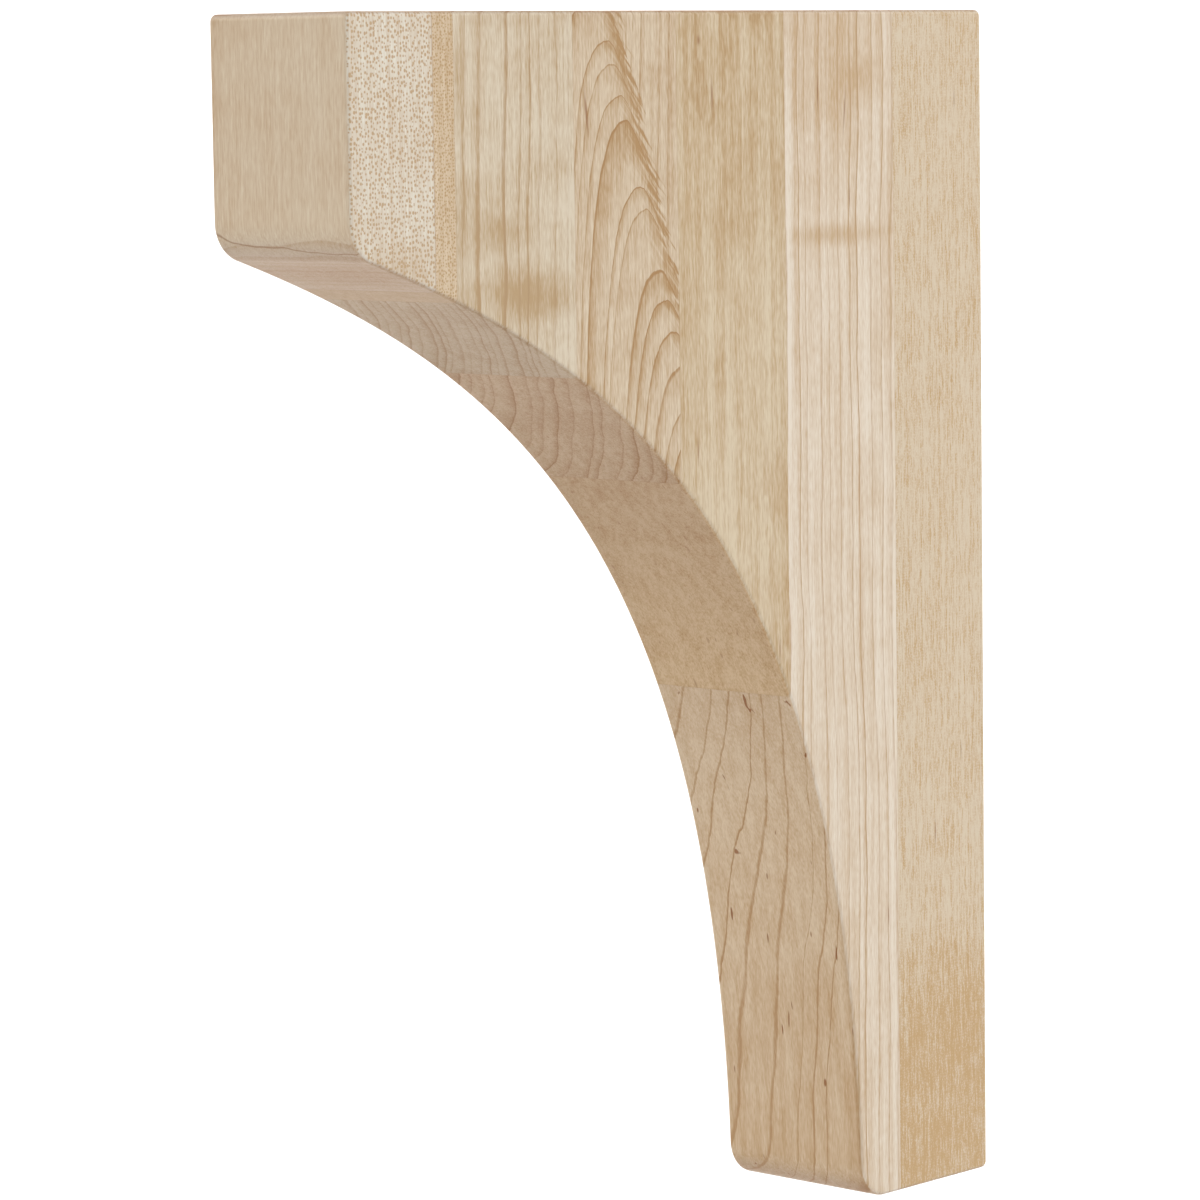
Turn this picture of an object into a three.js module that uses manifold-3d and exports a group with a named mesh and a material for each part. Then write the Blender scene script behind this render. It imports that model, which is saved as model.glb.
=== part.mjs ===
// A plain wooden corbel bracket: a board of upright maple staves, glued edge to edge and sawn to shape.
// It has a square top and back, a short flat nose and a hollow curve below, down to a narrow foot.
// The wall is on the +Y side and the shelf rests on the +Z face. The origin is at the middle of the back face.
import * as THREE from 'three';
import { mergeVertices } from 'three/addons/utils/BufferGeometryUtils.js';
import Module from 'manifold-3d';

// Driving dimensions, in millimetres and degrees
const boardThickness = 38.1;
const bracketDepth = 190.5;
const bracketHeight = 254;
const wallStaveWidth = 30.2;
const pinkStaveWidth = 35;
const plainStaveWidth = 33.1;
const flameStaveWidth = 30.4;
const thinStripWidth = 5.7;
const noseStaveWidth = 22.7;
const noseHeight = 40;
const noseRadius = 8;
const footDepth = 43.2;
const footRadius = 8;
const soffitSlope = 18.5;
const footLean = 2.4;
const edgeEase = 1;
const cornerExtra = 0.5;

// The hollow curve is one cubic. Its two handles are given as shares of its reach and its rise.
const noseHandleShare = 0.536;
const footHandleShare = 0.683;

// How finely round shapes are cut: how far a flat may lie inside its arc, and two counts of flats
const flatness = 0.02;
const soffitSteps = 48;
const easeSteps = 4;

// The staves stand side by side from the wall to the nose. The striped one takes up the rest of the depth.
const otherStavesWidth = wallStaveWidth + pinkStaveWidth + plainStaveWidth + flameStaveWidth
  + thinStripWidth + noseStaveWidth;
const stripedStaveWidth = bracketDepth - otherStavesWidth;

// Each stave is its own board, so it has its own colour
const staves = [
  { name: 'wall_stave', width: wallStaveWidth, color: 0xd4c1a7 },
  { name: 'pink_stave', width: pinkStaveWidth, color: 0xd7c6ae },
  { name: 'plain_stave', width: plainStaveWidth, color: 0xceb89a },
  { name: 'flame_stave', width: flameStaveWidth, color: 0xcab294 },
  { name: 'striped_stave', width: stripedStaveWidth, color: 0xd0bca1 },
  { name: 'thin_strip', width: thinStripWidth, color: 0xceb697 },
  { name: 'nose_stave', width: noseStaveWidth, color: 0xd5c5b0 },
];
const top = bracketHeight / 2;
const bottom = -top;

const wasm = await Module();
wasm.setup();

// Headings in the side view, where y runs to the right and z runs up
const level = 0;
const up = Math.PI / 2;
const back = Math.PI;
const down = -Math.PI / 2;

// Rounds a corner of the outline: an arc about (y, z), from one heading to the next.
// The outline runs anticlockwise, so a point of the arc lies a quarter turn behind its heading.
function turn(outline, y, z, radius, headingFrom, headingTo) {
  outline.absarc(y, z, radius, headingFrom + down, headingTo + down, false);
}

// A point at a distance from another, along a heading
function along(point, heading, distance) {
  return new THREE.Vector2(point.x + distance * Math.cos(heading), point.y + distance * Math.sin(heading));
}

// The side view of the bracket, with the wall on the right
function makeOutline() {
  const soffitStart = -THREE.MathUtils.degToRad(soffitSlope);
  const soffitEnd = down + THREE.MathUtils.degToRad(footLean);
  const cornerRadius = edgeEase + cornerExtra;
  const outline = new THREE.Shape();

  turn(outline, -cornerRadius, bottom + cornerRadius, cornerRadius, level, up);
  turn(outline, -cornerRadius, top - cornerRadius, cornerRadius, up, back);
  turn(outline, cornerRadius - bracketDepth, top - cornerRadius, cornerRadius, back, back - down);
  turn(outline, noseRadius - bracketDepth, top - noseHeight, noseRadius, down, soffitStart);

  const curveStart = outline.currentPoint.clone();
  const footCentre = new THREE.Vector2(footRadius - footDepth, bottom + footRadius);
  const curveEnd = along(footCentre, soffitEnd + down, footRadius);
  const reach = curveEnd.x - curveStart.x;
  const rise = curveStart.y - curveEnd.y;
  const noseHandle = along(curveStart, soffitStart, noseHandleShare * reach);
  const footHandle = along(curveEnd, soffitEnd + back, footHandleShare * rise);
  outline.bezierCurveTo(noseHandle.x, noseHandle.y, footHandle.x, footHandle.y, curveEnd.x, curveEnd.y);

  turn(outline, footCentre.x, footCentre.y, footRadius, soffitEnd, level);
  outline.closePath();
  return outline;
}

// How many flats one stretch of the outline gets
function flatsIn(curve) {
  if (curve.isLineCurve) {
    return 1;
  }
  if (curve.isEllipseCurve) {
    const sweep = curve.aEndAngle - curve.aStartAngle;
    const widestFlat = 2 * Math.acos(1 - flatness / curve.xRadius);
    return Math.ceil(sweep / widestFlat);
  }
  return soffitSteps;
}

// The outline's corners, with each stretch's last point left to the next stretch
function cornersOf(outline) {
  return outline.curves.flatMap((curve) => curve.getPoints(flatsIn(curve)).slice(0, -1));
}

// Extrudes the outline through the board's thickness, with its long edges eased
function makeBlank() {
  const outline = new THREE.Shape(cornersOf(makeOutline()));
  const geometry = new THREE.ExtrudeGeometry(outline, {
    depth: boardThickness - 2 * edgeEase,
    bevelThickness: edgeEase,
    bevelSize: edgeEase,
    bevelOffset: -edgeEase,
    bevelSegments: easeSteps,
  });
  geometry.translate(0, 0, edgeEase - boardThickness / 2);
  const thicknessAlongX = new THREE.Matrix4().makeBasis(
    new THREE.Vector3(0, 1, 0),
    new THREE.Vector3(0, 0, 1),
    new THREE.Vector3(1, 0, 0),
  );
  return geometry.applyMatrix4(thicknessAlongX);
}

// The space between two glue lines. Neighbours share the very same plane, so they touch and don't overlap.
function makeSlab(wallSide, noseSide) {
  const pastTheFaces = 2;
  const slab = new THREE.BoxGeometry(boardThickness * pastTheFaces, 1, bracketHeight * pastTheFaces);
  const position = slab.getAttribute('position');
  for (let i = 0; i < position.count; i += 1) {
    position.setY(i, position.getY(i) > 0 ? wallSide : noseSide);
  }
  return slab;
}

// A closed three.js mesh as a solid that can be cut
function toSolid(geometry) {
  const bare = geometry.clone();
  bare.deleteAttribute('normal');
  bare.deleteAttribute('uv');
  const merged = mergeVertices(bare);
  return new wasm.Manifold(new wasm.Mesh({
    numProp: 3,
    vertProperties: new Float32Array(merged.getAttribute('position').array),
    triVerts: new Uint32Array(merged.getIndex().array),
  }));
}

// A solid as a three.js geometry again
function toGeometry(solid) {
  const mesh = solid.getMesh();
  const geometry = new THREE.BufferGeometry();
  geometry.setAttribute('position', new THREE.BufferAttribute(mesh.vertProperties, mesh.numProp));
  geometry.setIndex(new THREE.BufferAttribute(mesh.triVerts, 1));
  geometry.computeVertexNormals();
  return geometry;
}

// One stave: the slice of the blank between its two glue lines
function makeStave(blank, stave, wallSide, noseSide) {
  const slice = blank.intersect(toSolid(makeSlab(wallSide, noseSide)));
  const material = new THREE.MeshStandardMaterial({ color: stave.color, roughness: 0.6, metalness: 0 });
  const mesh = new THREE.Mesh(toGeometry(slice), material);
  mesh.name = stave.name;
  return mesh;
}

const corbel = new THREE.Group();
corbel.name = 'corbel_bracket';
const blank = toSolid(makeBlank());
let glueLine = 0;
for (const stave of staves) {
  const wallSide = glueLine === 0 ? bracketDepth : glueLine;
  const nextLine = glueLine - stave.width;
  const noseSide = stave === staves[staves.length - 1] ? nextLine - bracketDepth : nextLine;
  corbel.add(makeStave(blank, stave, wallSide, noseSide));
  glueLine = nextLine;
}

export default corbel;
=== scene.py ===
"""A plain corbel bracket of edge-glued maple staves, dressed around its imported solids.

Every stave is sawn from one blank in mesh code, and wears its own figure of solid maple: growth
rings around a heart that lies outside the stave, fibres along the grain, ray fleck and mineral
streaks.
"""

import math
from typing import NamedTuple

import bmesh
import bpy
from mathutils import Matrix, Vector
from mathutils.geometry import interpolate_bezier


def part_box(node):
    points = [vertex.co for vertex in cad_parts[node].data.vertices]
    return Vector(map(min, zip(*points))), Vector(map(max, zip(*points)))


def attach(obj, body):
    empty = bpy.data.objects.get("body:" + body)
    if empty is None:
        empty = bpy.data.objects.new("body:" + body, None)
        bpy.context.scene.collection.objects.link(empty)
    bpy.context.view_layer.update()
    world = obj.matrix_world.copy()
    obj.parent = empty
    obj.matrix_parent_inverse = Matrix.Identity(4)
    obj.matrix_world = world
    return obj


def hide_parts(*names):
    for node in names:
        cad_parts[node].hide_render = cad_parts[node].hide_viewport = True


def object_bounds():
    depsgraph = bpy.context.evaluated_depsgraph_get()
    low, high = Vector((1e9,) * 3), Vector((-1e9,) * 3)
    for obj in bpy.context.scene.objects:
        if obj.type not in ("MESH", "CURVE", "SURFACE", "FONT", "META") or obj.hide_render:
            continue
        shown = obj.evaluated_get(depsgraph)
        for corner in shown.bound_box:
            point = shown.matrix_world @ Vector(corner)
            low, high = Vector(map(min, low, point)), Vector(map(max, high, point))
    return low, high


bl_info = {
    "name": "Maple Corbel Bracket",
    "version": (1, 0, 0),
    "blender": (4, 5, 0),
    "location": "View3D > Sidebar > Corbel",
    "description": "Builds a corbel bracket of glued maple staves and its studio",
    "category": "Object",
}

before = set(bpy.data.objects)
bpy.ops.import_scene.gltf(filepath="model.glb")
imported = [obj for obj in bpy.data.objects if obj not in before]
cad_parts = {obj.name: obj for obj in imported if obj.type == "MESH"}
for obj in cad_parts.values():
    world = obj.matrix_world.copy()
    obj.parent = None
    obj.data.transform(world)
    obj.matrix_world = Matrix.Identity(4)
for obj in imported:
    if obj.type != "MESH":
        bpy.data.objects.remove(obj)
CAD_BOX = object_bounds()

MM = 0.001


def linear(hex_colour):
    """An sRGB hex colour as linear red, green and blue"""
    channels = [int(hex_colour[i:i + 2], 16) / 255 for i in (0, 2, 4)]
    return tuple(c / 12.92 if c <= 0.04045 else ((c + 0.055) / 1.055) ** 2.4 for c in channels)


class Rings(NamedTuple):
    """Round growth rings in one stave. Places are in mm, as (x, distance from the wall, z).

    The heart is a point on the tree's axis, and the lean is how far that axis moves in x and away
    from the wall for each mm up. Spacing is one year's growth and wander is how far the rings
    stray, both in mm. Shade is how much each year darkens, and ink how dark the thin line is that
    ends it.
    """

    heart: tuple
    spacing: float
    wander: float
    shade: float
    ink: float
    lean: tuple = (0, 0)


class Arches(NamedTuple):
    """Cathedral figure: a tapering trunk sawn along its length, so its rings show as nested arches.

    The crown is where the line of arch tops meets z = 0, as a distance from the wall, and that
    line leans by so many mm for each mm up. The trunk's axis lies at a depth of so many mm from the
    middle of the board, and its rings draw in by the taper for each mm up. The wall side of each
    arch is so many times as steep as its nose side. Past the flank, on the wall side, the arches
    break off in feathers and the rings beyond go on straight.
    """

    crown: float
    lean: float
    depth: float
    taper: float
    steep: float
    spacing: float
    wander: float
    shade: float
    ink: float
    flank: float
    beyond: Rings


class Spot(NamedTuple):
    """A mark in one place, or a patch of painted shade: its middle (x, distance from the wall, z)
    and half sizes, in mm.

    Tone darkens the wood softly and dark turns it brown. Soft is the share of its size that fades.
    """

    middle: tuple
    reach: tuple
    tone: float = 0.0
    dark: float = 0.0
    soft: float = 1.0
    turn: float = 0.0


class Figure(NamedTuple):
    """One board's look.

    Late and cut are tints on its pale wood: for the late wood of a year, and for the nose and the
    hollow. Side and across are its years, on the sides and where the wood is cut across. The
    numbers after them say how strong each other mark is: a negative fleck is paler than the wood,
    and the joint is the dark line at the glue. The sheet is how far from the wall one dark year
    line crosses the nose, in mm.
    """

    node: str
    slot: str
    wood: str
    late: tuple
    cut: tuple
    side: tuple
    across: Rings
    fibre: float
    streak: float
    fleck: float
    fleck_size: float
    mineral: float
    mottle: float
    joint: float
    seed: float
    spots: tuple = ()
    sheet: float = 0.0


# The colour of mineral streaks and of the thin line that ends a year
BROWN = "8f5524"

# What end grain does to the wood's colour, together with the painted shade of the hollow that faces
# down, in linear light
END_GRAIN_AND_SHADE_TINT = (0.735, 0.69, 0.695)

# Where the near side face lies, in mm
NEAR_SIDE = 19.0

# The width of the thin line that ends a year, in mm: about twice that in the wood, to show at all
YEAR_LINE = 0.22

# How much the rings stray within a few mm, as a share of how far they wander over a few cm
FINE_STRAY = 0.35

# How far each pattern runs before it changes, in mm along x, y and z. Rings stray by a few mm over
# a few cm. Fibre and pores are drawn about twice as coarse as in the wood, to show from where the
# photograph was taken.
STRAY_GRAIN = (26, 26, 70)
FEATHER_GRAIN = (2.0, 2.0, 7)
STROKE_GRAIN = (3, 0.7, 6)
PORE_GRAIN = (0.26, 0.26, 2.2)
FIBRE_GRAIN = (0.5, 0.5, 14)
STREAK_GRAIN = (1.9, 1.9, 70)
MOTTLE_GRAIN = (20, 16, 8)
MINERAL_GRAIN = (1.2, 1.2, 8.5)
WAVE_GRAIN = (10, 30, 30)

# How far a noise mostly strays from its middle
NOISE_SWING = 0.25

# How much a noise is raised for each unit of a mark's strength, and the same for the rougher fibre
RAISED = 2.6
FIBRE_RAISED = 2.2

# The tone of plain wood, from 0 for early wood to 1 for late wood, and what a year line adds to it
PLAIN_TONE = 0.30
LINE_TONE = 0.85

# How far towards brown a year line goes
LINE_BROWN = 0.30

# Ray fleck: one cell in mm, across and along the grain, how far a fleck reaches in its cell, and
# how much further the largest ones do
FLECK_CELL = (0.80, 0.95)
FLECK_REACH = 0.28
FLECK_GAIN = 0.22

FIGURES = (
    Figure(
        node="wall_stave",
        slot="fleck_maple",
        wood="Quarter-sawn maple with fine fleck",
        late=(0.80, 0.63, 0.42),
        cut=(0.92, 0.88, 0.82),
        side=Rings((0, -160, 0), 2.4, 1.2, 0.10, 0.05),
        across=Rings((0, -160, 0), 2.4, 1.2, 0.10, 0.05),
        fibre=0.85,
        streak=0.20,
        fleck=-0.50,
        fleck_size=0.62,
        mineral=0.30,
        mottle=0.24,
        joint=0.10,
        seed=3.1,
        spots=(
            Spot((0, 6, -150), (90, 70, 88), tone=0.60, soft=0.28),
            Spot((NEAR_SIDE, 9.5, 108), (5, 0.35, 3.2), dark=0.45),
            Spot((NEAR_SIDE, 8.5, -33), (5, 0.35, 3.0), dark=0.40),
            Spot((NEAR_SIDE, 17.5, -50), (5, 0.4, 4.2), dark=0.55),
        ),
    ),
    Figure(
        node="pink_stave",
        slot="pink_maple",
        wood="Pinkish rift-sawn maple with mineral specks",
        late=(0.70, 0.55, 0.38),
        cut=(0.90, 0.80, 0.67),
        side=Rings((-30, 106, 0), 2.6, 1.1, 0.26, 0.66),
        across=Rings((-36, 98, 0), 4.0, 1.9, 0.10, 1.0),
        fibre=0.38,
        streak=0.36,
        fleck=0.0,
        fleck_size=1.0,
        mineral=0.85,
        mottle=0.16,
        joint=0.12,
        seed=11.7,
        spots=(
            # Painted shade: darker towards the foot of the hollow
            Spot((0, 52, -127), (60, 26, 75), tone=0.32),
            Spot((NEAR_SIDE, 31.4, -45), (14, 2.4, 120), tone=-0.35),
            Spot((NEAR_SIDE, 64, 60), (14, 2.2, 100), tone=-0.35),
            Spot((NEAR_SIDE, 48, 80.4), (14, 24, 3.6), tone=0.50),
            Spot((NEAR_SIDE, 42, 113), (14, 9, 7), tone=0.30),
            Spot((NEAR_SIDE, 52, 122), (14, 24, 48), tone=0.36, soft=0.9),
            Spot((NEAR_SIDE, 54.6, 110), (5, 0.32, 6.0), dark=0.65),
            Spot((NEAR_SIDE, 46.0, 106), (5, 0.35, 7.0), dark=0.70, turn=-5),
            Spot((NEAR_SIDE, 44.6, 88), (5, 0.30, 4.5), dark=0.60),
            Spot((NEAR_SIDE, 33.6, -66), (5, 0.32, 4.0), dark=0.60),
        ),
    ),
    Figure(
        node="plain_stave",
        slot="plain_maple",
        wood="Plain flat-sawn maple",
        late=(0.70, 0.55, 0.38),
        cut=(0.99, 0.87, 0.73),
        side=Rings((-50, 74, 0), 3.2, 2.2, 0.24, 0.16, lean=(0, 0.07)),
        across=Rings((-50, 74, 0), 9.0, 2.0, 0.06, 0.0),
        fibre=0.52,
        streak=0.44,
        fleck=0.0,
        fleck_size=1.0,
        mineral=0.35,
        mottle=0.22,
        joint=0.10,
        seed=23.4,
        spots=(
            Spot((NEAR_SIDE, 82, 122), (14, 34, 68), tone=0.30, soft=0.8),
            Spot((NEAR_SIDE, 91.5, 121), (5, 0.7, 1.6), dark=0.55),
            Spot((NEAR_SIDE, 87.6, 110), (5, 0.45, 5.0), dark=0.70),
            Spot((NEAR_SIDE, 93.0, 38), (5, 0.4, 4.0), dark=0.55),
            Spot((NEAR_SIDE, 68.2, -5), (5, 0.4, 4.0), dark=0.55),
        ),
    ),
    Figure(
        node="flame_stave",
        slot="flame_maple",
        wood="Flat-sawn maple with cathedral figure",
        late=(0.62, 0.45, 0.27),
        cut=(0.99, 0.895, 0.765),
        side=Arches(
            crown=79.5, lean=0.321, depth=36, taper=0.323, steep=3.0, spacing=2.45, wander=0.5,
            shade=0.55, ink=0.95, flank=4.4,
            beyond=Rings((-40, 40, 0), 2.6, 1.2, 0.22, 0.30, lean=(0, -0.05)),
        ),
        across=Rings((-60, 173, 0), 3.1, 1.5, 0.44, 0.46),
        fibre=0.42,
        streak=0.26,
        fleck=0.0,
        fleck_size=1.0,
        mineral=0.30,
        mottle=0.20,
        joint=0.12,
        seed=37.9,
        spots=(
            Spot((NEAR_SIDE, 125.0, 107), (5, 0.55, 6.0), dark=0.75, turn=6),
        ),
    ),
    Figure(
        node="striped_stave",
        slot="striped_maple",
        wood="Rift-sawn maple with straight lines",
        late=(0.70, 0.56, 0.40),
        cut=(0.94, 0.88, 0.78),
        side=Rings((-97, 215, 0), 2.1, 0.9, 0.22, 0.55),
        across=Rings((-97, 215, 0), 2.1, 1.2, 0.40, 0.42),
        fibre=0.50,
        streak=0.34,
        fleck=0.0,
        fleck_size=1.0,
        mineral=0.25,
        mottle=0.36,
        joint=0.10,
        seed=52.6,
        spots=(
            Spot((NEAR_SIDE, 130.4, 60), (14, 2.2, 100), tone=-0.30),
            Spot((NEAR_SIDE, 148, 84.5), (20, 20, 5.5), tone=0.34),
            Spot((NEAR_SIDE, 145, 72), (20, 22, 7.5), tone=0.60),
        ),
    ),
    Figure(
        node="thin_strip",
        slot="golden_maple",
        wood="Golden quarter-sawn maple",
        late=(0.70, 0.55, 0.38),
        cut=(0.98, 0.92, 0.82),
        side=Rings((0, 40, 0), 2.4, 1.0, 0.10, 0.0),
        across=Rings((0, 40, 0), 2.4, 1.0, 0.10, 0.0),
        fibre=0.34,
        streak=0.26,
        fleck=0.74,
        fleck_size=0.74,
        mineral=0.0,
        mottle=0.12,
        joint=0.12,
        seed=64.2,
    ),
    Figure(
        node="nose_stave",
        slot="speckled_maple",
        wood="Quarter-sawn maple with dense ray fleck",
        late=(0.68, 0.50, 0.34),
        cut=(0.97, 0.865, 0.745),
        side=Rings((6, -60, 0), 4.2, 1.2, 0.16, 0.0),
        across=Rings((6, -60, 0), 2.2, 0.6, 0.20, 0.10),
        fibre=0.30,
        streak=0.14,
        fleck=0.92,
        fleck_size=1.0,
        mineral=0.0,
        mottle=0.10,
        joint=0.45,
        seed=78.8,
        sheet=188.85,
        spots=(
            Spot((0, 187, 81), (40, 7, 7), tone=-0.15),
            Spot((0, 176, 78), (40, 14, 9), tone=0.36, soft=0.8),
            Spot((-19.5, 190, 107), (2.6, 4, 30), tone=0.40),
        ),
    ),
)


class CorbelSizes(bpy.types.PropertyGroup):
    """The sizes of the sawn blank that the solids' boxes don't give"""

    nose_height: bpy.props.FloatProperty(
        name="Nose height", description="Flat part of the nose, down to its round",
        default=40 * MM, unit="LENGTH",
    )
    nose_radius: bpy.props.FloatProperty(
        name="Nose radius", description="Round between the nose and the hollow",
        default=8 * MM, unit="LENGTH",
    )
    foot_depth: bpy.props.FloatProperty(
        name="Foot depth", description="Depth of the foot from the wall",
        default=43.2 * MM, unit="LENGTH",
    )
    foot_radius: bpy.props.FloatProperty(
        name="Foot radius", description="Round between the hollow and the underside",
        default=8 * MM, unit="LENGTH",
    )
    soffit_slope: bpy.props.FloatProperty(
        name="Hollow slope", description="How far below level the hollow starts at the nose",
        default=math.radians(18.5), unit="ROTATION", subtype="ANGLE",
    )
    foot_lean: bpy.props.FloatProperty(
        name="Foot lean", description="How far off plumb the hollow ends at the foot",
        default=math.radians(2.4), unit="ROTATION", subtype="ANGLE",
    )
    edge_ease: bpy.props.FloatProperty(
        name="Eased edge", description="Radius of the sanded long edges",
        default=1 * MM, unit="LENGTH",
    )
    corner_radius: bpy.props.FloatProperty(
        name="Corner radius", description="Round of the three square corners in the side view",
        default=1.5 * MM, unit="LENGTH",
    )
    glue_line: bpy.props.FloatProperty(
        name="Glue line",
        description="Width of the dark line that a joint shows, drawn a little coarse",
        default=0.22 * MM, unit="LENGTH",
    )


class CorbelWoods(bpy.types.PropertyGroup):
    """The pale wood of each board, in linear light"""

    wall_stave: bpy.props.FloatVectorProperty(
        name="Wall stave", description="Beige board against the wall",
        default=linear("dccbb2"), size=3, subtype="COLOR",
    )
    pink_stave: bpy.props.FloatVectorProperty(
        name="Pink stave", description="Whitish, pinkish board",
        default=linear("eaddcb"), size=3, subtype="COLOR",
    )
    plain_stave: bpy.props.FloatVectorProperty(
        name="Plain stave", description="Board with a faint figure",
        default=linear("ddccb0"), size=3, subtype="COLOR",
    )
    flame_stave: bpy.props.FloatVectorProperty(
        name="Flame stave", description="Board with the cathedral figure",
        default=linear("e0cfb6"), size=3, subtype="COLOR",
    )
    striped_stave: bpy.props.FloatVectorProperty(
        name="Striped stave", description="Board with straight lines",
        default=linear("dfd1ba"), size=3, subtype="COLOR",
    )
    thin_strip: bpy.props.FloatVectorProperty(
        name="Thin strip", description="Narrow golden strip",
        default=linear("e0cdb1"), size=3, subtype="COLOR",
    )
    nose_stave: bpy.props.FloatVectorProperty(
        name="Nose stave", description="Speckled board at the nose",
        default=linear("ebe5d7"), size=3, subtype="COLOR",
    )


class CorbelStudio(bpy.types.PropertyGroup):
    """The floor, the lights and the camera"""

    floor_colour: bpy.props.FloatVectorProperty(
        name="Floor colour", description="Colour of the floor and the backdrop, in linear light",
        default=(0.9, 0.9, 0.9), size=3, subtype="COLOR",
    )
    floor_drop: bpy.props.FloatProperty(
        name="Floor drop", description="How far below the foot the floor lies",
        default=0.45, unit="LENGTH",
    )
    key_power: bpy.props.FloatProperty(
        name="Key light", description="Power of the soft light on the side face, in watts",
        default=14.0,
    )
    backdrop_power: bpy.props.FloatProperty(
        name="Backdrop lights",
        description="Power of each of the two lights on the backdrop, in watts",
        default=95.0,
    )
    sky: bpy.props.FloatProperty(
        name="Sky", description="Strength of the even light from all round",
        default=0.30,
    )


def tinted(colour, *tints):
    """A linear colour under one tint after another, with its alpha"""
    for tint in tints:
        colour = [c * t for c, t in zip(colour, tint)]
    return (*colour, 1.0)


def add(tree, kind, inputs=None, output=0, **settings):
    """Adds a shader node with its settings and inputs, and gives back one output, if it has any"""
    node = tree.nodes.new(kind)
    for name, value in settings.items():
        setattr(node, name, value)
    for socket, value in (inputs or {}).items():
        if isinstance(value, bpy.types.NodeSocket):
            tree.links.new(value, node.inputs[socket])
        else:
            node.inputs[socket].default_value = value
    return node.outputs[output] if node.outputs else None


def noise(tree, place, grain, seed, detail=2.0, rough=0.5):
    """Noise about its middle, from -0.5 to 0.5. grain is its size in mm along x, y and z."""
    spread = add(
        tree, "ShaderNodeMapping",
        {
            "Vector": place, "Location": (seed, -seed, seed),
            "Scale": tuple(1 / (MM * size) for size in grain),
        },
    )
    value = add(
        tree, "ShaderNodeTexNoise",
        {"Vector": spread, "Scale": 1.0, "Detail": detail, "Roughness": rough},
        noise_dimensions="3D",
    )
    return add(tree, "ShaderNodeMath", {0: value, 1: 0.5}, operation="SUBTRACT")


def round_growth(tree, place, rings):
    """How far out from the tree's axis the wood lies, in mm"""
    heart = (rings.heart[0] * MM, -rings.heart[1] * MM, rings.heart[2] * MM)
    tilt = (math.atan(rings.lean[1]), math.atan(rings.lean[0]), 0)
    about_heart = add(
        tree, "ShaderNodeMapping",
        {"Vector": place, "Location": heart, "Rotation": tilt, "Scale": (MM, MM, MM)},
        vector_type="TEXTURE",
    )
    across = add(tree, "ShaderNodeVectorMath", {0: about_heart, 1: (1, 1, 0)}, operation="MULTIPLY")
    return add(tree, "ShaderNodeVectorMath", {0: across}, output=1, operation="LENGTH")


def beside_crown(tree, place, arches):
    """How far the wood lies to the nose side of the line of arch tops, in mm"""
    slant = add(
        tree, "ShaderNodeVectorMath", {0: place, 1: (0, -1 / MM, -arches.lean / MM)},
        output=1, operation="DOT_PRODUCT",
    )
    return add(tree, "ShaderNodeMath", {0: slant, 1: arches.crown}, operation="SUBTRACT")


def arched_growth(tree, place, arches, beside):
    """The growth of the wood in an arch, in mm, and how fast that rises along the face"""
    nose_side = add(tree, "ShaderNodeMath", {0: beside, 1: 0.0}, operation="MAXIMUM")
    wall_side = add(tree, "ShaderNodeMath", {0: beside, 1: 0.0}, operation="MINIMUM")
    across = add(
        tree, "ShaderNodeMath", {0: wall_side, 1: -arches.steep, 2: nose_side},
        operation="MULTIPLY_ADD",
    )
    behind = add(tree, "ShaderNodeSeparateXYZ", {0: place})
    behind = add(
        tree, "ShaderNodeMath", {0: behind, 1: -1 / MM, 2: arches.depth}, operation="MULTIPLY_ADD",
    )
    outward = add(tree, "ShaderNodeCombineXYZ", {0: across, 1: behind})
    radius = add(tree, "ShaderNodeVectorMath", {0: outward}, output=1, operation="LENGTH")
    slope = add(tree, "ShaderNodeMath", {0: across, 1: radius}, operation="DIVIDE")
    slope = add(tree, "ShaderNodeMapRange", {"Value": slope, "To Min": arches.taper, "To Max": 1.0})
    height = add(tree, "ShaderNodeSeparateXYZ", {0: place}, output=2)
    growth = add(
        tree, "ShaderNodeMath", {0: height, 1: arches.taper / MM, 2: radius},
        operation="MULTIPLY_ADD",
    )
    return growth, slope


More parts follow.
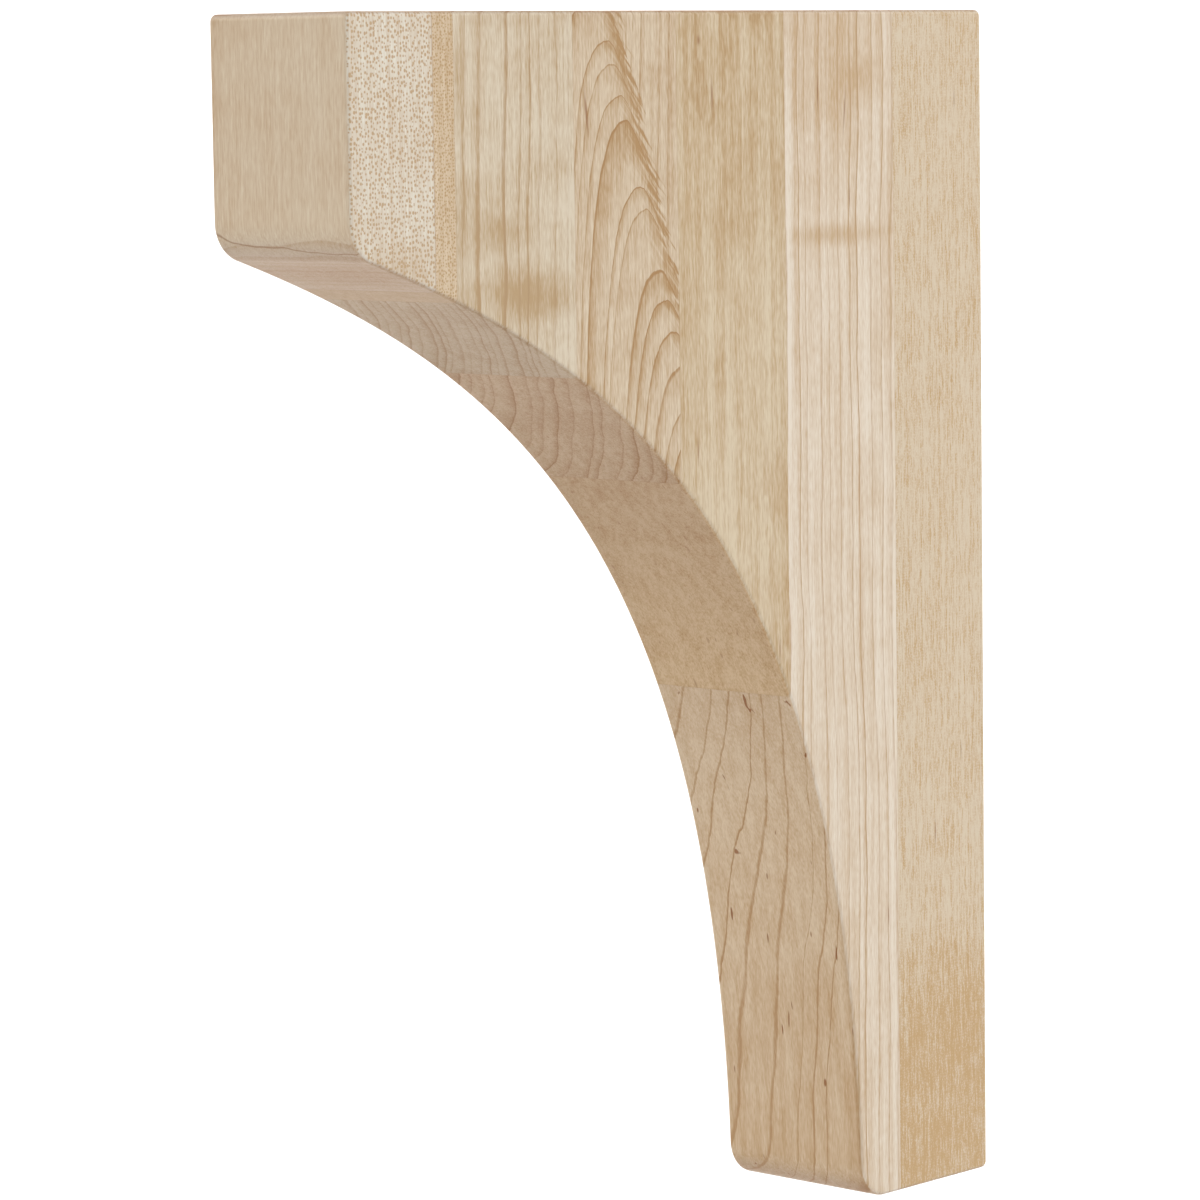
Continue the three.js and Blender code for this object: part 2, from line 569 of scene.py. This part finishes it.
def years_of(tree, place, growth, rings, seed, fine, slope=1.0):
    """Cuts growth in mm into years: each year's soft dark side, and the thin line that ends it

    The slope is how fast growth rises along the face, and the line is as wide there whatever it is.
    """
    stray = noise(tree, place, STRAY_GRAIN, seed)
    feather = noise(tree, place, FEATHER_GRAIN, seed + 2, rough=0.6)
    growth = add(
        tree, "ShaderNodeMath", {0: stray, 1: rings.wander / NOISE_SWING, 2: growth},
        operation="MULTIPLY_ADD",
    )
    growth = add(tree, "ShaderNodeMath", {0: feather, 1: fine, 2: growth}, operation="MULTIPLY_ADD")
    years = add(
        tree, "ShaderNodeMath", {0: growth, 1: 1 / rings.spacing, 2: seed},
        operation="MULTIPLY_ADD",
    )
    # Good and lean years: the rings come closer together and further apart
    pace, unevenness = 0.45, 1.6
    weather = add(
        tree, "ShaderNodeTexNoise", {"W": years, "Scale": pace, "Detail": 1.0},
        noise_dimensions="1D",
    )
    years = add(
        tree, "ShaderNodeMath", {0: weather, 1: unevenness, 2: years}, operation="MULTIPLY_ADD",
    )
    season = add(tree, "ShaderNodeMath", {0: years}, operation="FRACT")
    year = add(tree, "ShaderNodeMath", {0: years}, operation="FLOOR")
    year_left = add(
        tree, "ShaderNodeMath", {0: season, 1: -rings.spacing, 2: rings.spacing},
        operation="MULTIPLY_ADD",
    )
    year_left = add(tree, "ShaderNodeMath", {0: year_left, 1: slope}, operation="DIVIDE")
    # The dark ends softly, within the line, and some years end much more faintly than others
    faintest = 0.35
    fall = add(
        tree, "ShaderNodeMapRange", {"Value": year_left, "From Max": 0.6 * YEAR_LINE},
        interpolation_type="SMOOTHSTEP",
    )
    vigour = add(tree, "ShaderNodeTexWhiteNoise", {"W": year}, noise_dimensions="1D")
    vigour = add(tree, "ShaderNodeMapRange", {"Value": vigour, "To Min": faintest, "To Max": 1.0})
    level = add(tree, "ShaderNodeMath", {0: vigour, 1: fall}, operation="MULTIPLY")
    soft = add(
        tree, "ShaderNodeMapRange",
        {"Value": season, "From Min": 0.30, "From Max": 0.95, "To Max": rings.shade},
        interpolation_type="SMOOTHSTEP",
    )
    line = add(
        tree, "ShaderNodeMapRange",
        {
            "Value": year_left, "From Min": YEAR_LINE, "From Max": 2.4 * YEAR_LINE,
            "To Min": rings.ink, "To Max": 0.0,
        },
        interpolation_type="SMOOTHSTEP",
    )
    return [
        add(tree, "ShaderNodeMath", {0: part, 1: level}, operation="MULTIPLY")
        for part in (soft, line)
    ]


def side_years(tree, place, figure):
    """The years as the sides show them: round rings, or arches that end in straight rings"""
    side = figure.side
    if isinstance(side, Rings):
        growth = round_growth(tree, place, side)
        return years_of(tree, place, growth, side, figure.seed, FINE_STRAY * side.wander)
    beside = beside_crown(tree, place, side)
    growth, slope = arched_growth(tree, place, side, beside)
    arched = years_of(tree, place, growth, side, figure.seed, 2 * FINE_STRAY * side.wander, slope)
    growth = round_growth(tree, place, side.beyond)
    straight = years_of(
        tree, place, growth, side.beyond, figure.seed, FINE_STRAY * side.beyond.wander,
    )
    # Feathers: fine strokes that lean over from the arches into the straight grain
    stroke_tilt, stroke_reach, blur = math.radians(-42), 9.0, 1.2
    leant = add(tree, "ShaderNodeMapping", {"Vector": place, "Rotation": (stroke_tilt, 0, 0)})
    feather = noise(tree, leant, STROKE_GRAIN, figure.seed + 4, 1.0)
    edge = add(
        tree, "ShaderNodeMath", {0: feather, 1: stroke_reach, 2: beside}, operation="MULTIPLY_ADD",
    )
    past = add(
        tree, "ShaderNodeMapRange",
        {
            "Value": edge, "From Min": -side.flank - blur, "From Max": -side.flank + blur,
            "To Min": 1.0, "To Max": 0.0,
        },
        interpolation_type="SMOOTHSTEP",
    )
    # The wood under each arch is darkest about halfway down the flank, where the strokes show most
    halfway, flank_tone, stroke_contrast = 0.55, 0.46, 3.4
    flank = add(tree, "ShaderNodeMath", {0: edge, 1: halfway * side.flank}, operation="ADD")
    flank = add(tree, "ShaderNodeMath", {0: flank}, operation="ABSOLUTE")
    flank = add(
        tree, "ShaderNodeMapRange",
        {
            "Value": flank, "From Min": 0.0, "From Max": side.flank,
            "To Min": flank_tone, "To Max": 0.0,
        },
        interpolation_type="SMOOTHSTEP",
    )
    strokes = add(
        tree, "ShaderNodeMath", {0: feather, 1: stroke_contrast, 2: 1.0}, operation="MULTIPLY_ADD",
    )
    soft = add(
        tree, "ShaderNodeMath", {0: flank, 1: strokes, 2: arched[0]}, operation="MULTIPLY_ADD",
    )
    # The legs grow fainter the further they lie from the crowns
    legs = add(
        tree, "ShaderNodeMapRange",
        {"Value": beside, "From Min": 3.0, "From Max": 18.0, "To Min": 1.0, "To Max": 0.45},
    )
    line = add(tree, "ShaderNodeMath", {0: arched[1], 1: legs}, operation="MULTIPLY")
    return [
        add(tree, "ShaderNodeMix", {0: past, 2: arch, 3: ring}, data_type="FLOAT")
        for arch, ring in zip((soft, line), straight)
    ]


def flecks(tree, place, size, seed):
    """Ray fleck on a quarter-sawn face: small specks, drawn a little coarser than they grow"""
    split = add(tree, "ShaderNodeSeparateXYZ", {0: place}).node
    flat = add(tree, "ShaderNodeCombineXYZ", {0: split.outputs[1], 1: split.outputs[2]})
    spread = add(
        tree, "ShaderNodeMapping",
        {
            "Vector": flat, "Location": (seed, seed, 0),
            "Scale": (*(1 / (width * size * MM) for width in FLECK_CELL), 1),
        },
    )
    cells = add(
        tree, "ShaderNodeTexVoronoi", {"Vector": spread, "Scale": 1.0, "Randomness": 0.78},
        voronoi_dimensions="2D", feature="F1",
    ).node
    chance = add(tree, "ShaderNodeSeparateXYZ", {0: cells.outputs["Color"]})
    reach = add(
        tree, "ShaderNodeMath", {0: chance, 1: -FLECK_GAIN, 2: cells.outputs["Distance"]},
        operation="MULTIPLY_ADD",
    )
    return add(
        tree, "ShaderNodeMapRange",
        {"Value": reach, "From Min": 0.0, "From Max": FLECK_REACH, "To Min": 1.0, "To Max": 0.0},
        interpolation_type="SMOOTHSTEP",
    )


def spot_mask(tree, place, spot):
    """Where a spot lies, as 0 to 1"""
    middle = (spot.middle[0] * MM, -spot.middle[1] * MM, spot.middle[2] * MM)
    local = add(
        tree, "ShaderNodeMapping",
        {
            "Vector": place, "Location": middle, "Rotation": (math.radians(spot.turn), 0, 0),
            "Scale": tuple(r * MM for r in spot.reach),
        },
        vector_type="TEXTURE",
    )
    away = add(tree, "ShaderNodeVectorMath", {0: local}, output=1, operation="LENGTH")
    return add(
        tree, "ShaderNodeMapRange",
        {"Value": away, "From Min": 1 - spot.soft, "From Max": 1.0, "To Min": 1.0, "To Max": 0.0},
        interpolation_type="SMOOTHSTEP",
    )


def line_near(tree, distance, reach, level):
    """A thin line where a distance is nought, fading over its reach"""
    away = add(tree, "ShaderNodeMath", {0: distance}, operation="ABSOLUTE")
    return add(
        tree, "ShaderNodeMapRange",
        {"Value": away, "From Min": 0.0, "From Max": reach, "To Min": level, "To Max": 0.0},
    )


def maple(figure, pale, glue_planes, glue_line):
    """Sanded maple, unfinished: pale and silky, with a low soft gloss and its figure in the wood"""
    material = bpy.data.materials.new(figure.wood)
    material.use_nodes = True
    tree = material.node_tree
    tree.nodes.clear()
    place = add(tree, "ShaderNodeTexCoord", output=3)
    out_of_wall = add(tree, "ShaderNodeSeparateXYZ", {0: place}, output=1)
    seed = figure.seed

    # The sides show the board's face, and the nose and the hollow cut across it
    normal = add(tree, "ShaderNodeTexCoord", output=1)
    normal = add(tree, "ShaderNodeSeparateXYZ", {0: normal}).node
    sideways = add(tree, "ShaderNodeMath", {0: normal.outputs[0]}, operation="ABSOLUTE")
    on_side = add(
        tree, "ShaderNodeMapRange", {"Value": sideways, "From Min": 0.55, "From Max": 0.80},
        interpolation_type="SMOOTHSTEP",
    )
    # How steep the cut is: where the end-grain tint and the painted shade of the downward-facing
    # hollow go
    upright = add(tree, "ShaderNodeMath", {0: normal.outputs[2]}, operation="ABSOLUTE")
    end_grain_and_shade = add(
        tree, "ShaderNodeMapRange", {"Value": upright, "From Min": 0.25, "From Max": 0.85},
        interpolation_type="SMOOTHSTEP",
    )

    across = figure.across
    growth = round_growth(tree, place, across)
    cut_years = years_of(tree, place, growth, across, seed, FINE_STRAY * across.wander)
    soft, line = (
        add(tree, "ShaderNodeMix", {0: on_side, 2: cut, 3: sawn}, data_type="FLOAT")
        for cut, sawn in zip(cut_years, side_years(tree, place, figure))
    )

    pore = noise(tree, place, PORE_GRAIN, seed + 1, 1.0)
    fibre = noise(tree, place, FIBRE_GRAIN, seed, rough=0.6)
    streak = noise(tree, place, STREAK_GRAIN, seed + 5)
    mottle = noise(tree, place, MOTTLE_GRAIN, seed + 21)
    tone = add(tree, "ShaderNodeMath", {0: soft, 1: PLAIN_TONE}, operation="ADD")
    patterns = (
        (line, LINE_TONE), (pore, RAISED * figure.fibre), (fibre, FIBRE_RAISED * figure.fibre),
        (streak, RAISED * figure.streak), (mottle, RAISED * figure.mottle),
    )
    for pattern, strength in patterns:
        tone = add(
            tree, "ShaderNodeMath", {0: pattern, 1: strength, 2: tone}, operation="MULTIPLY_ADD",
        )
    # Mineral streaks lie where a smooth noise peaks, so they are few and end sharply
    mineral = noise(tree, place, MINERAL_GRAIN, seed + 17, 0.0)
    mineral = add(
        tree, "ShaderNodeMapRange", {"Value": mineral, "From Min": 0.29, "From Max": 0.33},
        interpolation_type="SMOOTHSTEP",
    )
    sparse = add(tree, "ShaderNodeMix", {0: on_side, 2: figure.mineral, 3: 0.0}, data_type="FLOAT")
    dark = add(tree, "ShaderNodeMath", {0: mineral, 1: sparse}, operation="MULTIPLY")
    dark = add(tree, "ShaderNodeMath", {0: line, 1: LINE_BROWN, 2: dark}, operation="MULTIPLY_ADD")
    if figure.fleck:
        fleck = flecks(tree, place, figure.fleck_size, seed)
        fleck = add(tree, "ShaderNodeMath", {0: fleck, 1: on_side}, operation="MULTIPLY")
        tone = add(
            tree, "ShaderNodeMath", {0: fleck, 1: figure.fleck, 2: tone}, operation="MULTIPLY_ADD",
        )
    for spot in figure.spots:
        mask = spot_mask(tree, place, spot)
        tone, dark = (
            add(tree, "ShaderNodeMath", {0: mask, 1: more, 2: level}, operation="MULTIPLY_ADD")
            for more, level in ((spot.tone, tone), (spot.dark, dark))
        )
    if figure.sheet:
        # One year ends just under the nose, a little askew, so its line comes out on the round
        askew, sway, half_width, brownness = 0.06, 2.4, 0.16, 0.62
        wave = noise(tree, place, WAVE_GRAIN, seed + 31)
        across_sheet = add(
            tree, "ShaderNodeVectorMath", {0: place, 1: (askew / MM, -1 / MM, 0)},
            output=1, operation="DOT_PRODUCT",
        )
        from_sheet = add(
            tree, "ShaderNodeMath", {0: across_sheet, 1: figure.sheet}, operation="SUBTRACT",
        )
        from_sheet = add(
            tree, "ShaderNodeMath", {0: wave, 1: sway, 2: from_sheet}, operation="MULTIPLY_ADD",
        )
        sheet = line_near(tree, from_sheet, half_width, brownness)
        sheet = add(tree, "ShaderNodeMix", {0: on_side, 2: sheet, 3: 0.0}, data_type="FLOAT")
        dark = add(tree, "ShaderNodeMath", {0: dark, 1: sheet}, operation="MAXIMUM")
    for plane in glue_planes:
        from_joint = add(tree, "ShaderNodeMath", {0: out_of_wall, 1: plane}, operation="SUBTRACT")
        joint = line_near(tree, from_joint, glue_line, figure.joint)
        dark = add(tree, "ShaderNodeMath", {0: dark, 1: joint}, operation="MAXIMUM")

    early, late = (
        add(
            tree, "ShaderNodeMix",
            {0: on_side, 6: tinted(pale, figure.cut, *tint), 7: tinted(pale, *tint)},
            output=2, data_type="RGBA",
        )
        for tint in ((), (figure.late,))
    )
    colour = add(tree, "ShaderNodeMix", {0: tone, 6: early, 7: late}, output=2, data_type="RGBA")
    # End grain drinks in more light than long grain, and the hollow that faces down lies in shade:
    # this tint paints both in, so the steeper the cut, the duller the wood
    colour = add(
        tree, "ShaderNodeMix", {0: end_grain_and_shade, 6: colour, 7: (*END_GRAIN_AND_SHADE_TINT, 1.0)},
        output=2, data_type="RGBA", blend_type="MULTIPLY",
    )
    colour = add(
        tree, "ShaderNodeMix", {0: dark, 6: colour, 7: tinted(linear(BROWN))},
        output=2, data_type="RGBA",
    )

    relief = add(tree, "ShaderNodeMath", {0: pore, 1: 0.5, 2: tone}, operation="MULTIPLY_ADD")
    bump = add(
        tree, "ShaderNodeBump", {"Strength": 0.2, "Distance": 0.04 * MM, "Height": relief},
        invert=True,
    )
    rough = add(
        tree, "ShaderNodeMapRange",
        {"Value": fibre, "From Min": -0.5, "From Max": 0.5, "To Min": 0.50, "To Max": 0.62},
    )
    shader = add(
        tree, "ShaderNodeBsdfPrincipled",
        {
            "Base Color": colour, "Roughness": rough, "Normal": bump,
            "IOR": 1.5, "Specular IOR Level": 0.35,
        },
    )
    add(tree, "ShaderNodeOutputMaterial", {"Surface": shader})
    return material


def heading(angle):
    """The direction of a heading in the side view, where y runs to the right and z runs up"""
    return Vector((0, math.cos(angle), math.sin(angle)))


def turn(bm, centre, radius, start, end, steps):
    """Rounds a corner of the outline by spinning one vertex, a quarter turn behind its heading"""
    first = bmesh.ops.create_vert(bm, co=centre + radius * heading(start - math.pi / 2))["vert"]
    bmesh.ops.spin(
        bm, geom=first, cent=centre, axis=(1, 0, 0), angle=end - start, steps=steps,
        use_duplicate=False,
    )


def make_outline(bm, sizes, low, high):
    """The blank's side view as one face, with the wall on the right"""
    up, back, down = math.pi / 2, math.pi, -math.pi / 2
    corner = sizes.corner_radius
    wall, front, top, bottom = high.y - corner, low.y + corner, high.z - corner, low.z + corner
    corner_steps, round_steps, hollow_steps = 6, 20, 110
    soffit_start = -sizes.soffit_slope
    soffit_end = down + sizes.foot_lean

    turn(bm, Vector((low.x, wall, bottom)), corner, 0, up, corner_steps)
    turn(bm, Vector((low.x, wall, top)), corner, up, back, corner_steps)
    turn(bm, Vector((low.x, front, top)), corner, back, back - down, corner_steps)
    nose = Vector((low.x, low.y + sizes.nose_radius, high.z - sizes.nose_height))
    turn(bm, nose, sizes.nose_radius, down, soffit_start, round_steps)

    # The hollow is one cubic, and its handles are shares of its reach and rise, as in the solids
    nose_share, foot_share = 0.536, 0.683
    foot = Vector((low.x, high.y + sizes.foot_radius - sizes.foot_depth, low.z + sizes.foot_radius))
    curve_start = nose + sizes.nose_radius * heading(soffit_start + down)
    curve_end = foot + sizes.foot_radius * heading(soffit_end + down)
    nose_handle = curve_start + nose_share * (curve_end.y - curve_start.y) * heading(soffit_start)
    foot_handle = curve_end - foot_share * (curve_start.z - curve_end.z) * heading(soffit_end)
    hollow = interpolate_bezier(curve_start, nose_handle, foot_handle, curve_end, hollow_steps + 1)
    for point in hollow[1:-1]:
        bmesh.ops.create_vert(bm, co=point)

    turn(bm, foot, sizes.foot_radius, soffit_end, 0, round_steps)
    return bm.faces.new(bm.verts[:])


def make_blank(sizes, low, high):
    """The whole bracket before it is cut, as thick as the board and with its long edges eased"""
    ease_steps = 5
    bm = bmesh.new()
    face = make_outline(bm, sizes, low, high)
    drawn = bmesh.ops.extrude_face_region(bm, geom=[face])["geom"]
    moved = [part for part in drawn if isinstance(part, bmesh.types.BMVert)]
    bmesh.ops.translate(bm, verts=moved, vec=(high.x - low.x, 0, 0))
    bmesh.ops.recalc_face_normals(bm, faces=bm.faces[:])
    rims = [edge for edge in bm.edges if any(abs(f.normal.x) > 0.9 for f in edge.link_faces)]
    bmesh.ops.bevel(
        bm, geom=rims, offset=sizes.edge_ease, offset_type="OFFSET", segments=ease_steps,
        profile=0.5, affect="EDGES", material=-1,
    )
    return bm


def cut_stave(blank, wall_side, nose_side, wall_glued, nose_glued):
    """One stave: the blank between two glue lines, each cut closed by a flat, sharp-edged face"""
    bm = blank.copy()
    cuts = ((wall_side, wall_glued, 1), (nose_side, nose_glued, -1))
    for plane, glued, outward in cuts:
        if not glued:
            continue
        everything = bm.verts[:] + bm.edges[:] + bm.faces[:]
        bmesh.ops.bisect_plane(
            bm, geom=everything, dist=1e-7, plane_co=(0, plane, 0), plane_no=(0, outward, 0),
            clear_outer=True,
        )
        open_edges = [edge for edge in bm.edges if edge.is_boundary]
        bmesh.ops.contextual_create(bm, geom=open_edges)
        for edge in open_edges:
            edge.smooth = False
    bmesh.ops.recalc_face_normals(bm, faces=bm.faces[:])
    for face in bm.faces:
        face.smooth = True
    return bm


def make_piece(bm, name, material):
    """A finished mesh as an object at the origin, with its normals weighted by face size"""
    mesh = bpy.data.meshes.new(name)
    bm.to_mesh(mesh)
    bm.free()
    mesh.materials.append(material)
    piece = bpy.data.objects.new(name, mesh)
    bpy.context.scene.collection.objects.link(piece)
    weighted = piece.modifiers.new("Weighted normals", "WEIGHTED_NORMAL")
    weighted.mode = "FACE_AREA"
    weighted.weight = 100
    weighted.keep_sharp = True
    return piece


class CORBEL_OT_staves(bpy.types.Operator):
    """Saw the seven maple staves out of one blank"""

    bl_idname = "corbel.staves"
    bl_label = "Staves"

    def execute(self, context):
        """Makes each stave in its solid's place and lets it ride there"""
        sizes = context.scene.corbel_sizes
        woods = context.scene.corbel_woods
        low, high = (Vector(corner) for corner in CAD_BOX)
        blank = make_blank(sizes, low, high)
        for figure in FIGURES:
            stave_low, stave_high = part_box(figure.node)
            wall_glued = stave_high.y < high.y - sizes.glue_line
            nose_glued = stave_low.y > low.y + sizes.glue_line
            glue_planes = [stave_high.y] * wall_glued + [stave_low.y] * nose_glued
            pale = getattr(woods, figure.node)
            material = maple(figure, pale, glue_planes, sizes.glue_line)
            bm = cut_stave(blank, stave_high.y, stave_low.y, wall_glued, nose_glued)
            piece = make_piece(bm, figure.node + "_wood", material)
            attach(piece, "root")
            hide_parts(figure.node)
        blank.free()
        return {"FINISHED"}


def point_at(thing, target):
    """Turns a light or a camera so that it looks at a point"""
    thing.rotation_euler = (target - thing.location).to_track_quat("-Z", "Y").to_euler()


def add_light(name, place, target, size, power):
    """A soft square light that looks at a point"""
    light = bpy.data.lights.new(name, "AREA")
    light.shape = "SQUARE"
    light.size = size
    light.energy = power
    lamp = bpy.data.objects.new(name, light)
    lamp.location = place
    point_at(lamp, Vector(target))
    bpy.context.scene.collection.objects.link(lamp)


def make_backdrop(studio, floor_height, view_angle):
    """A pale floor that turns up behind the bracket in one smooth sweep"""
    near, far, bend, rise, half_width = -7.0, 2.2, 1.2, 5.0, 9.0
    bend_steps = 24
    bm = bmesh.new()
    centre = Vector((0, far, floor_height + bend))
    turn(bm, centre, bend, 0, math.pi / 2, bend_steps)
    chain = bm.verts[:]
    front = bmesh.ops.create_vert(bm, co=(0, near, floor_height))["vert"][0]
    top = bmesh.ops.create_vert(bm, co=(0, far + bend, floor_height + rise))["vert"][0]
    bm.edges.new((front, chain[0]))
    bm.edges.new((chain[-1], top))
    bmesh.ops.translate(bm, verts=bm.verts[:], vec=(-half_width, 0, 0))
    drawn = bmesh.ops.extrude_edge_only(bm, edges=bm.edges[:])["geom"]
    moved = [part for part in drawn if isinstance(part, bmesh.types.BMVert)]
    bmesh.ops.translate(bm, verts=moved, vec=(2 * half_width, 0, 0))
    towards_camera = Matrix.Rotation(view_angle, 3, "Z")
    bmesh.ops.rotate(bm, verts=bm.verts[:], cent=(0, 0, 0), matrix=towards_camera)
    for face in bm.faces:
        face.smooth = True
    mesh = bpy.data.meshes.new("studio_sweep")
    bm.to_mesh(mesh)
    bm.free()
    material = bpy.data.materials.new("Pale painted backdrop")
    material.use_nodes = True
    shader = material.node_tree.nodes["Principled BSDF"]
    shader.inputs["Base Color"].default_value = (*studio.floor_colour, 1)
    shader.inputs["Roughness"].default_value = 0.9
    mesh.materials.append(material)
    sweep = bpy.data.objects.new("studio_sweep", mesh)
    bpy.context.scene.collection.objects.link(sweep)
    return sweep


class CORBEL_OT_stage(bpy.types.Operator):
    """Set up the floor, the soft lights and the camera"""

    bl_idname = "corbel.stage"
    bl_label = "Stage"

    def execute(self, context):
        """Stands the camera where the photograph was taken from, in light that is soft all round"""
        scene = context.scene
        studio = scene.corbel_studio
        low, _ = CAD_BOX
        camera_place = Vector((684.55, -835.97, 115.94)) * MM
        forward = Vector((-0.67836, 0.72675, -0.10799))
        view_angle = math.atan2(-forward.x, forward.y)
        roll = math.radians(-0.81)
        make_backdrop(studio, low[2] - studio.floor_drop, view_angle)

        middle = (0, low[1] / 2, 0)
        add_light("key_light", (1.5, -1.0, 0.9), middle, 1.3, studio.key_power)
        behind = Matrix.Rotation(view_angle, 3, "Z")
        for side in (-1, 1):
            place = behind @ Vector((side * 2.2, 0.6, 1.9))
            target = behind @ Vector((side * 0.8, 3.4, 0.2))
            add_light(f"backdrop_light_{side + 2}", place, target, 1.6, studio.backdrop_power)
        world = scene.world or bpy.data.worlds.new("Studio")
        scene.world = world
        world.use_nodes = True
        background = world.node_tree.nodes["Background"]
        background.inputs["Color"].default_value = (1, 1, 1, 1)
        background.inputs["Strength"].default_value = studio.sky

        lens = bpy.data.cameras.new("camera")
        lens.sensor_width = 36
        lens.lens = 147.26
        camera = bpy.data.objects.new("camera", lens)
        turned = forward.to_track_quat("-Z", "Y").to_matrix() @ Matrix.Rotation(roll, 3, "Z")
        camera.matrix_world = Matrix.Translation(camera_place) @ turned.to_4x4()
        scene.collection.objects.link(camera)
        scene.camera = camera
        scene.view_settings.view_transform = "Standard"
        return {"FINISHED"}


class CORBEL_PT_sidebar(bpy.types.Panel):
    """Lists the bracket's sizes and steps"""

    bl_idname = "CORBEL_PT_sidebar"
    bl_label = "Corbel Bracket"
    bl_space_type = "VIEW_3D"
    bl_region_type = "UI"
    bl_category = "Corbel"

    def draw(self, context):
        """Draws every size, then one button for each step"""
        scene = context.scene
        for group in (scene.corbel_sizes, scene.corbel_woods, scene.corbel_studio):
            for name in group.__annotations__:
                self.layout.prop(group, name)
        for step in STEPS:
            self.layout.operator(step.bl_idname)


STEPS = (CORBEL_OT_stage, CORBEL_OT_staves)
CLASSES = (CorbelSizes, CorbelWoods, CorbelStudio, *STEPS, CORBEL_PT_sidebar)


def register():
    """Registers the classes and hangs their settings on the scene"""
    for cls in CLASSES:
        bpy.utils.register_class(cls)
    bpy.types.Scene.corbel_sizes = bpy.props.PointerProperty(type=CorbelSizes)
    bpy.types.Scene.corbel_woods = bpy.props.PointerProperty(type=CorbelWoods)
    bpy.types.Scene.corbel_studio = bpy.props.PointerProperty(type=CorbelStudio)


def unregister():
    """Takes the settings and the classes away again"""
    del bpy.types.Scene.corbel_studio
    del bpy.types.Scene.corbel_woods
    del bpy.types.Scene.corbel_sizes
    for cls in reversed(CLASSES):
        bpy.utils.unregister_class(cls)


def main():
    """Builds the whole scene"""
    register()
    bpy.ops.corbel.stage()
    bpy.ops.corbel.staves()


if __name__ == "__main__":
    main()
